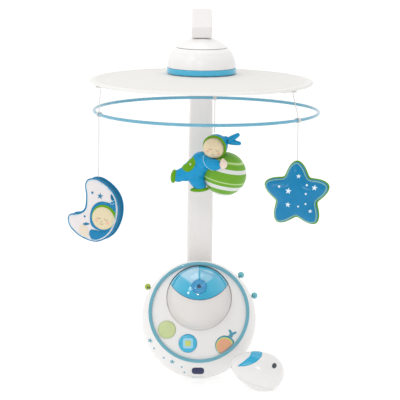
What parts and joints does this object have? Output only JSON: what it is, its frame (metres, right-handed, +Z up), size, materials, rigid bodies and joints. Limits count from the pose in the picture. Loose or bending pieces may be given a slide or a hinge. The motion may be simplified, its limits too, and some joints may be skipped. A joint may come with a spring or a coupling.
{
  "type": "crib mobile",
  "caption": "Rail-clamped crib mobile: turning canopy and ring with hanging padded toys over a round projector base, and a loose egg-shaped remote control.",
  "frame": {"origin": "centre of the bracket face that rests against the crib rail", "axes": "+Z up along the mast, +Y from the crib out through the rail, +X to the right as seen from inside the crib's far side, looking along +Y"},
  "size_m": [0.3449, 0.4952, 0.5346],
  "materials": {
    "white_plastic": "satin white moulded plastic",
    "blue_plastic": "glossy sky blue",
    "teal_trim": "slightly see-through teal blue",
    "clear_blue": "see-through glossy blue",
    "green_plastic": "see-through pale green",
    "navy_gloss": "glossy navy",
    "dark_plastic": "matte dark grey",
    "circuit": "solder-mask green",
    "metal": "plated steel",
    "canopy_fabric": "matte white woven screen with a bound edge",
    "cord": "white braided string",
    "blue_satin": "bright blue satin",
    "striped_cotton": "green and white striped satin",
    "moon_cotton": "white printed satin with blue piping"
  },
  "bodies": {
    "root": {"mast": "white_plastic", "arm": "white_plastic", "mast_socket": "white_plastic", "rail_bracket": "white_plastic", "rear_housing": "white_plastic", "front_housing": "white_plastic", "face_trim_ring": "teal_trim", "face_panel": "white_plastic", "ball_bearing_left": "white_plastic", "ball_bearing_right": "white_plastic", "circuit_board": "circuit", "speaker": "dark_plastic", "battery_cell_1": "metal", "battery_cell_2": "metal", "battery_cell_3": "metal", "infrared_window": "navy_gloss", "dome_cap": "white_plastic", "dome_shell": "white_plastic", "dome_band": "blue_plastic", "head_floor": "white_plastic", "head_motor": "dark_plastic"},
    "clamp_pad_body": {"clamp_pad": "dark_plastic"},
    "clamp_screw_body": {"clamp_screw": "metal", "clamp_knob": "blue_plastic"},
    "carousel": {"drive_gear": "white_plastic", "carousel_spider": "white_plastic", "hub_nut": "white_plastic", "canopy_rim": "canopy_fabric", "canopy_cloth": "canopy_fabric", "hanging_ring": "teal_trim", "upper_string_moon": "cord", "upper_string_doll": "cord", "upper_string_star": "cord"},
    "pinion": {"motor_pinion": "metal"},
    "moon_loop": {"ring_loop_moon": "cord"},
    "moon_string": {"lower_string_moon": "cord"},
    "moon": {"moon_toy": "moon_cotton"},
    "doll_loop": {"ring_loop_doll": "cord"},
    "doll_string": {"lower_string_doll": "cord"},
    "doll": {"doll_toy": "blue_satin", "striped_ball": "striped_cotton"},
    "star_loop": {"ring_loop_star": "cord"},
    "star_string": {"lower_string_star": "cord"},
    "star": {"star_toy": "blue_satin"},
    "projector": {"projector_ball_shell": "white_plastic", "projector_window": "clear_blue", "projector_lens": "clear_blue", "projector_lamp": "dark_plastic"},
    "play_button_body": {"play_button": "green_plastic"},
    "mode_button_body": {"mode_button": "clear_blue"},
    "night_light_button_body": {"night_light_button": "clear_blue"},
    "volume_slider_body": {"volume_slider": "green_plastic"},
    "timer_slider_body": {"timer_slider": "blue_plastic"},
    "brightness_slider_body": {"brightness_slider": "blue_plastic"},
    "battery_cover_body": {"battery_cover": "white_plastic"},
    "remote": {"remote_top_shell": "white_plastic", "remote_base_shell": "white_plastic", "remote_ir_window": "dark_plastic", "remote_board": "circuit"},
    "remote_button_body": {"remote_button": "blue_plastic"}
  },
  "joints": [
    {"name": "clamp_travel", "type": "slide", "parent": "root", "child": "clamp_pad_body", "axis": [0, 1, 0], "range_m": [-0.014, 0.008]},
    {"name": "clamp_turn", "type": "hinge", "parent": "clamp_pad_body", "child": "clamp_screw_body", "pos_m": [0, 0.05, 0], "axis": [0, 1, 0], "range_deg": [-840, 480]},
    {"name": "carousel_spin", "type": "hinge", "parent": "root", "child": "carousel", "pos_m": [0, -0.268, 0.38], "axis": [0, 0, 1], "continuous": true},
    {"name": "pinion_spin", "type": "hinge", "parent": "root", "child": "pinion", "pos_m": [0.0225, -0.268, 0.388], "axis": [0, 0, 1], "continuous": true},
    {"name": "moon_rock", "type": "hinge", "parent": "carousel", "child": "moon_loop", "pos_m": [-0.13577, -0.31716, 0.331], "axis": [0.3256, -0.9455, 0], "range_deg": [-12, 12]},
    {"name": "moon_swing", "type": "hinge", "parent": "moon_loop", "child": "moon_string", "pos_m": [-0.13577, -0.31716, 0.32685], "axis": [-0.9455, -0.3256, 0], "range_deg": [-12, 12]},
    {"name": "moon_twist", "type": "hinge", "parent": "moon_string", "child": "moon", "pos_m": [-0.13577, -0.31716, 0.246], "axis": [0, 0, 1], "range_deg": [-60, 60]},
    {"name": "doll_rock", "type": "hinge", "parent": "carousel", "child": "doll_loop", "pos_m": [0.01937, -0.11751, 0.331], "axis": [-0.9966, 0.0819, 0], "range_deg": [-12, 12]},
    {"name": "doll_swing", "type": "hinge", "parent": "doll_loop", "child": "doll_string", "pos_m": [0.01937, -0.11751, 0.32685], "axis": [0.0819, 0.9966, 0], "range_deg": [-12, 12]},
    {"name": "doll_twist", "type": "hinge", "parent": "doll_string", "child": "doll", "pos_m": [0.01937, -0.11751, 0.281], "axis": [0, 0, 1], "range_deg": [-60, 60]},
    {"name": "star_rock", "type": "hinge", "parent": "carousel", "child": "star_loop", "pos_m": [0.12759, -0.35887, 0.331], "axis": [0.6018, 0.7986, 0], "range_deg": [-12, 12]},
    {"name": "star_swing", "type": "hinge", "parent": "star_loop", "child": "star_string", "pos_m": [0.12759, -0.35887, 0.32685], "axis": [0.7986, -0.6018, 0], "range_deg": [-12, 12]},
    {"name": "star_twist", "type": "hinge", "parent": "star_string", "child": "star", "pos_m": [0.12759, -0.35887, 0.2785], "axis": [0, 0, 1], "range_deg": [-60, 60]},
    {"name": "projector_tilt", "type": "hinge", "parent": "root", "child": "projector", "pos_m": [0, -0.06504, 0.03289], "axis": [1, 0, 0], "range_deg": [-12, 20]},
    {"name": "play_press", "type": "slide", "parent": "root", "child": "play_button_body", "axis": [0, 0.9781, -0.2079], "range_m": [0, 0.0015], "stiffness_N_per_m": 500, "springref_m": -0.0005},
    {"name": "mode_press", "type": "slide", "parent": "root", "child": "mode_button_body", "axis": [0, 0.9781, -0.2079], "range_m": [0, 0.0015], "stiffness_N_per_m": 500, "springref_m": -0.0005},
    {"name": "night_light_press", "type": "slide", "parent": "root", "child": "night_light_button_body", "axis": [0, 0.9781, -0.2079], "range_m": [0, 0.0015], "stiffness_N_per_m": 500, "springref_m": -0.0005},
    {"name": "volume_slide", "type": "hinge", "parent": "root", "child": "volume_slider_body", "pos_m": [0, -0.049, 0], "axis": [0, 1, 0], "range_deg": [-7, 7]},
    {"name": "timer_slide", "type": "hinge", "parent": "root", "child": "timer_slider_body", "pos_m": [0, -0.049, 0], "axis": [0, 1, 0], "range_deg": [-7, 7]},
    {"name": "brightness_slide", "type": "hinge", "parent": "root", "child": "brightness_slider_body", "pos_m": [0, -0.049, 0], "axis": [0, 1, 0], "range_deg": [-7, 7]},
    {"name": "battery_cover_off", "type": "slide", "parent": "root", "child": "battery_cover_body", "axis": [0, 1, 0], "range_m": [0, 0.015]},
    {"name": "remote_lift", "type": "slide", "parent": "root", "child": "remote", "axis": [0, 0, 1], "range_m": [0, 0.06]},
    {"name": "remote_press", "type": "slide", "parent": "remote", "child": "remote_button_body", "axis": [0, 0.5, -0.866], "range_m": [0, 0.001], "stiffness_N_per_m": 400, "springref_m": -0.0005}
  ],
  "couplings": [
    {"joint": "clamp_turn", "follows": "clamp_travel", "rad_per_m": 1047.2},
    {"joint": "pinion_spin", "follows": "carousel_spin", "ratio": -4}
  ]
}
